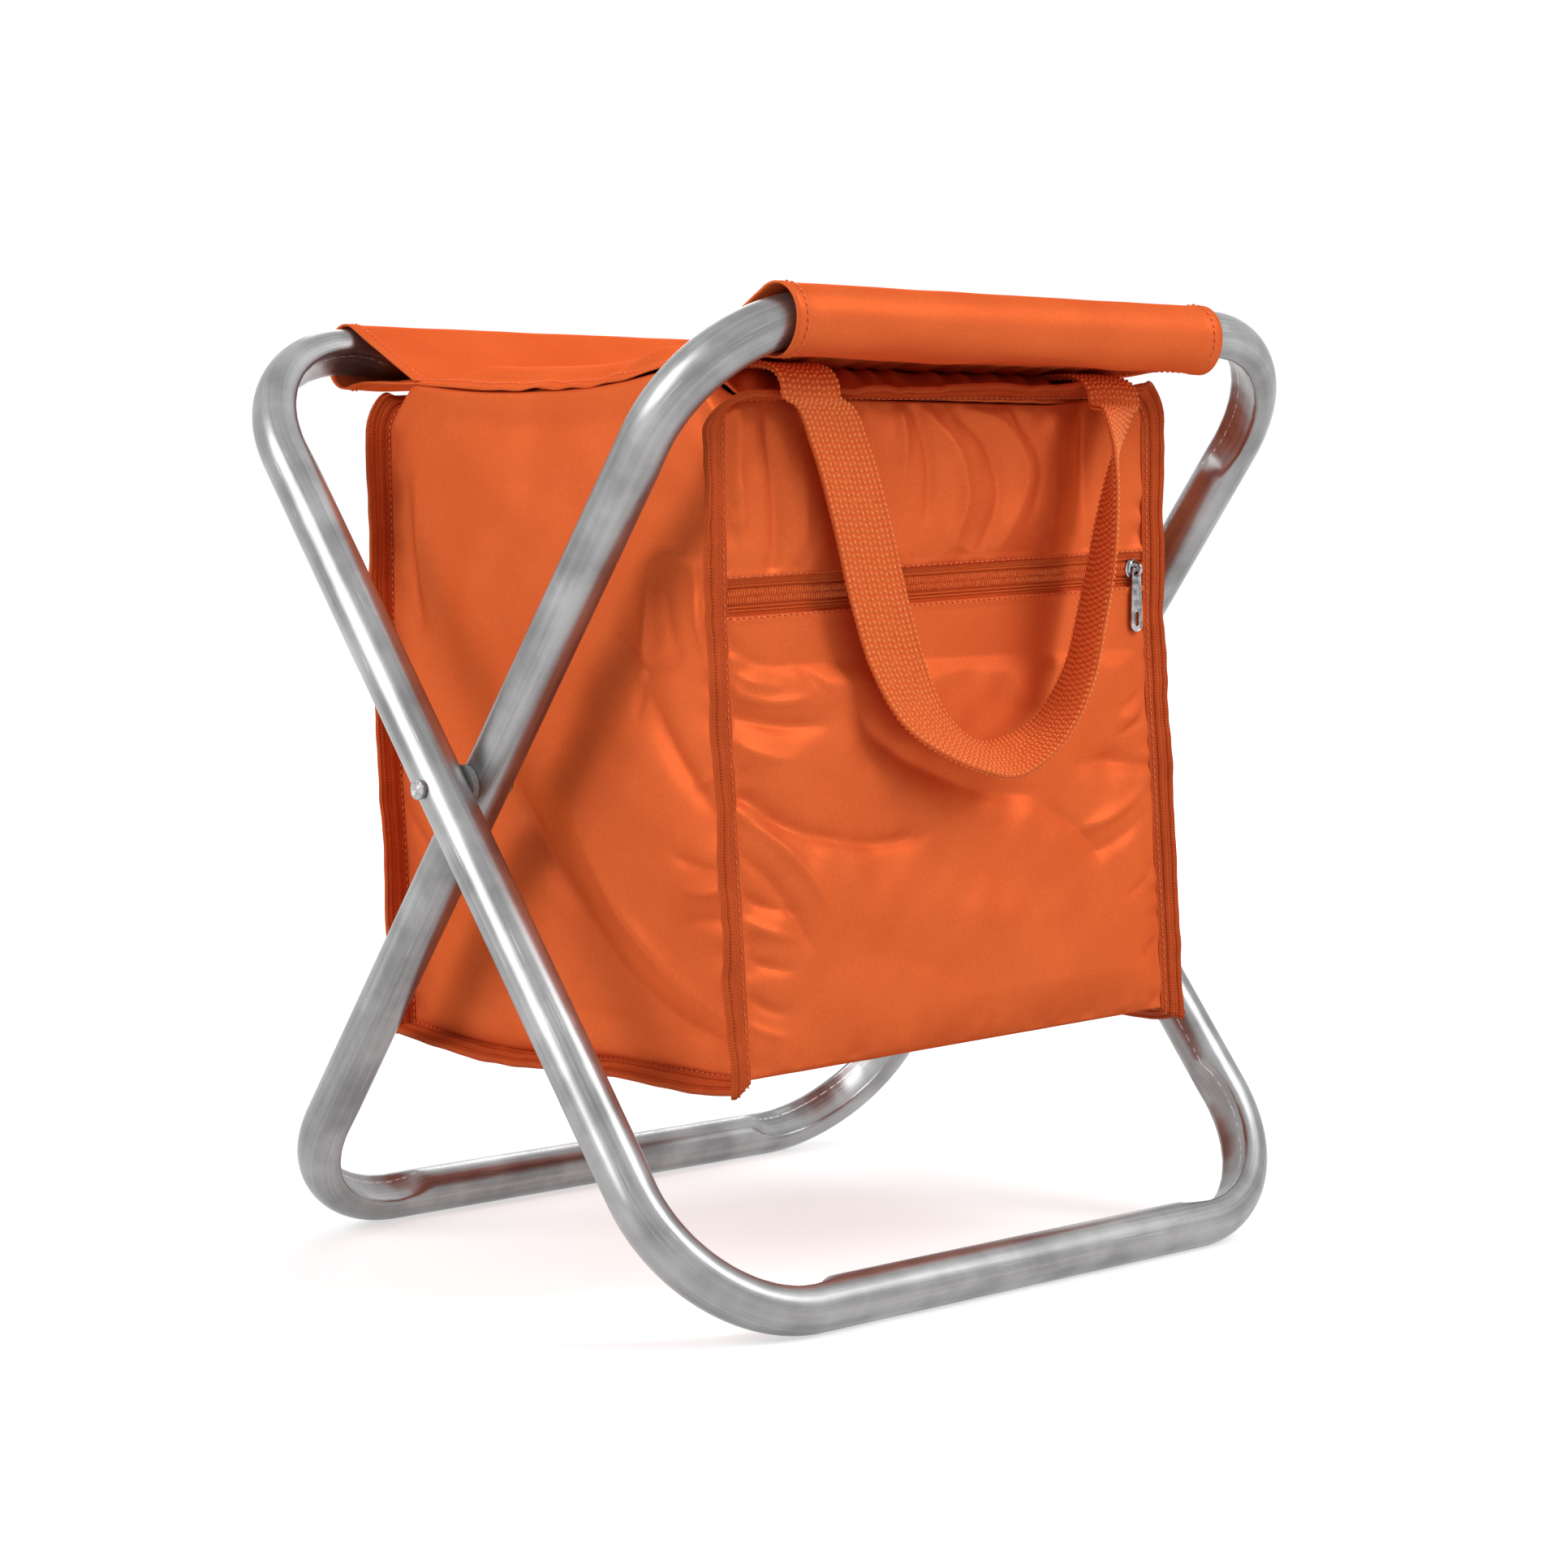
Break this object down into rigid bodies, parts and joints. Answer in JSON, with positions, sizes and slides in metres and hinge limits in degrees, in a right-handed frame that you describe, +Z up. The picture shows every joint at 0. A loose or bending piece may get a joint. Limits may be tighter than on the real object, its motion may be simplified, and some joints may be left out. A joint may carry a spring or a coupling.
{
  "type": "folding cooler stool",
  "caption": "Folding stool with crossed bent-tube legs, a sling cloth seat and an insulated zip bag sewn under the seat.",
  "frame": {"origin": "floor level under the middle of the stool, between the two floor rails", "axes": "+X along the rails, +Y from the zip pocket side to the plain side, +Z up"},
  "size_m": [0.3776, 0.3124, 0.3875],
  "materials": {
    "tube_steel": "satin grey tube with streaky highlights and light scratches",
    "rivet_steel": "bright domed heads with concentric rings",
    "washer_nylon": "dark spacer",
    "orange_nylon": "coated nylon with a satin sheen",
    "ribbed_tape": "knitted binding tape with fine ribs",
    "webbing": "basket-weave webbing",
    "zip_tape": "woven zip tape",
    "zip_coil": "dyed nylon coil",
    "zip_metal": "plated zinc",
    "foil_foam": "foam board faced with foil"
  },
  "bodies": {
    "bag_and_seat": {"pivot_rivet_left": "rivet_steel", "pivot_washer_left": "washer_nylon", "pivot_rivet_right": "rivet_steel", "pivot_washer_right": "washer_nylon", "seat_flap_front": "orange_nylon", "handle_front_first_end": "webbing", "handle_front_second_end": "webbing", "binding_front": "ribbed_tape", "bag_front_upper_panel": "orange_nylon", "bag_front_lower_panel": "orange_nylon", "seat_flap_back": "orange_nylon", "handle_back_first_end": "webbing", "handle_back_second_end": "webbing", "binding_back": "ribbed_tape", "bag_back_upper_panel": "orange_nylon", "bag_back_lower_panel": "orange_nylon", "seat_panel": "orange_nylon", "bag_top_panel": "orange_nylon", "bag_left_panel": "orange_nylon", "binding_left_bottom": "ribbed_tape", "bag_right_panel": "orange_nylon", "binding_right_bottom": "ribbed_tape", "bag_bottom_panel": "orange_nylon", "insulation_bottom": "foil_foam", "insulation_top": "foil_foam", "insulation_left": "foil_foam", "insulation_right": "foil_foam", "insulation_front": "foil_foam", "insulation_back_lower": "foil_foam", "insulation_back_upper": "foil_foam", "pocket_zip_tape_upper": "zip_tape", "pocket_zip_tape_lower": "zip_tape", "pocket_zip_chain": "zip_coil", "main_zip_tape_upper": "zip_tape", "main_zip_tape_lower": "zip_tape", "main_zip_chain": "zip_coil"},
    "rear_rail_frame": {"rear_rail_frame_tube": "tube_steel", "rear_rail_frame_splice": "tube_steel", "seat_sleeve_back": "orange_nylon"},
    "front_rail_frame": {"front_rail_frame_tube": "tube_steel", "front_rail_frame_splice": "tube_steel", "seat_sleeve_front": "orange_nylon"},
    "front_handle": {"handle_front": "webbing"},
    "back_handle": {"handle_back": "webbing"},
    "pocket_slider": {"pocket_zip_slider": "zip_metal"},
    "pocket_puller": {"pocket_zip_puller": "zip_metal"},
    "main_slider": {"main_zip_slider": "zip_metal"},
    "main_puller": {"main_zip_puller": "zip_metal"}
  },
  "joints": [
    {"name": "rear_rail_frame_fold", "type": "hinge", "parent": "bag_and_seat", "child": "rear_rail_frame", "pos_m": [0, 0, 0.1997], "axis": [1, 0, 0], "range_deg": [0, 34], "deforming": ["seat_flap_back"]},
    {"name": "front_rail_frame_fold", "type": "hinge", "parent": "bag_and_seat", "child": "front_rail_frame", "pos_m": [0, 0, 0.1997], "axis": [-1, 0, 0], "range_deg": [0, 34], "deforming": ["seat_flap_front"]},
    {"name": "front_handle_swing", "type": "hinge", "parent": "bag_and_seat", "child": "front_handle", "pos_m": [-0.004, -0.1195, 0.3545], "axis": [-1, 0, 0], "range_deg": [0, 45]},
    {"name": "back_handle_swing", "type": "hinge", "parent": "bag_and_seat", "child": "back_handle", "pos_m": [-0.004, 0.1195, 0.3545], "axis": [1, 0, 0], "range_deg": [0, 45]},
    {"name": "pocket_zip_slide", "type": "slide", "parent": "bag_and_seat", "child": "pocket_slider", "axis": [-0.9994, 0, -0.0349], "range_m": [0, 0.2211], "deforming": ["pocket_zip_chain"]},
    {"name": "pocket_puller_swing", "type": "hinge", "parent": "pocket_slider", "child": "pocket_puller", "pos_m": [0.10593, -0.1079, 0.27984], "axis": [-1, 0, 0], "range_deg": [0, 100]},
    {"name": "main_zip_slide", "type": "slide", "parent": "bag_and_seat", "child": "main_slider", "axis": [1, 0, 0], "range_m": [0, 0.2211], "deforming": ["main_zip_chain"]},
    {"name": "main_puller_swing", "type": "hinge", "parent": "main_slider", "child": "main_puller", "pos_m": [-0.114, 0.1079, 0.3], "axis": [1, 0, 0], "range_deg": [0, 100]}
  ],
  "couplings": [
    {"joint": "front_rail_frame_fold", "follows": "rear_rail_frame_fold", "ratio": 1}
  ]
}
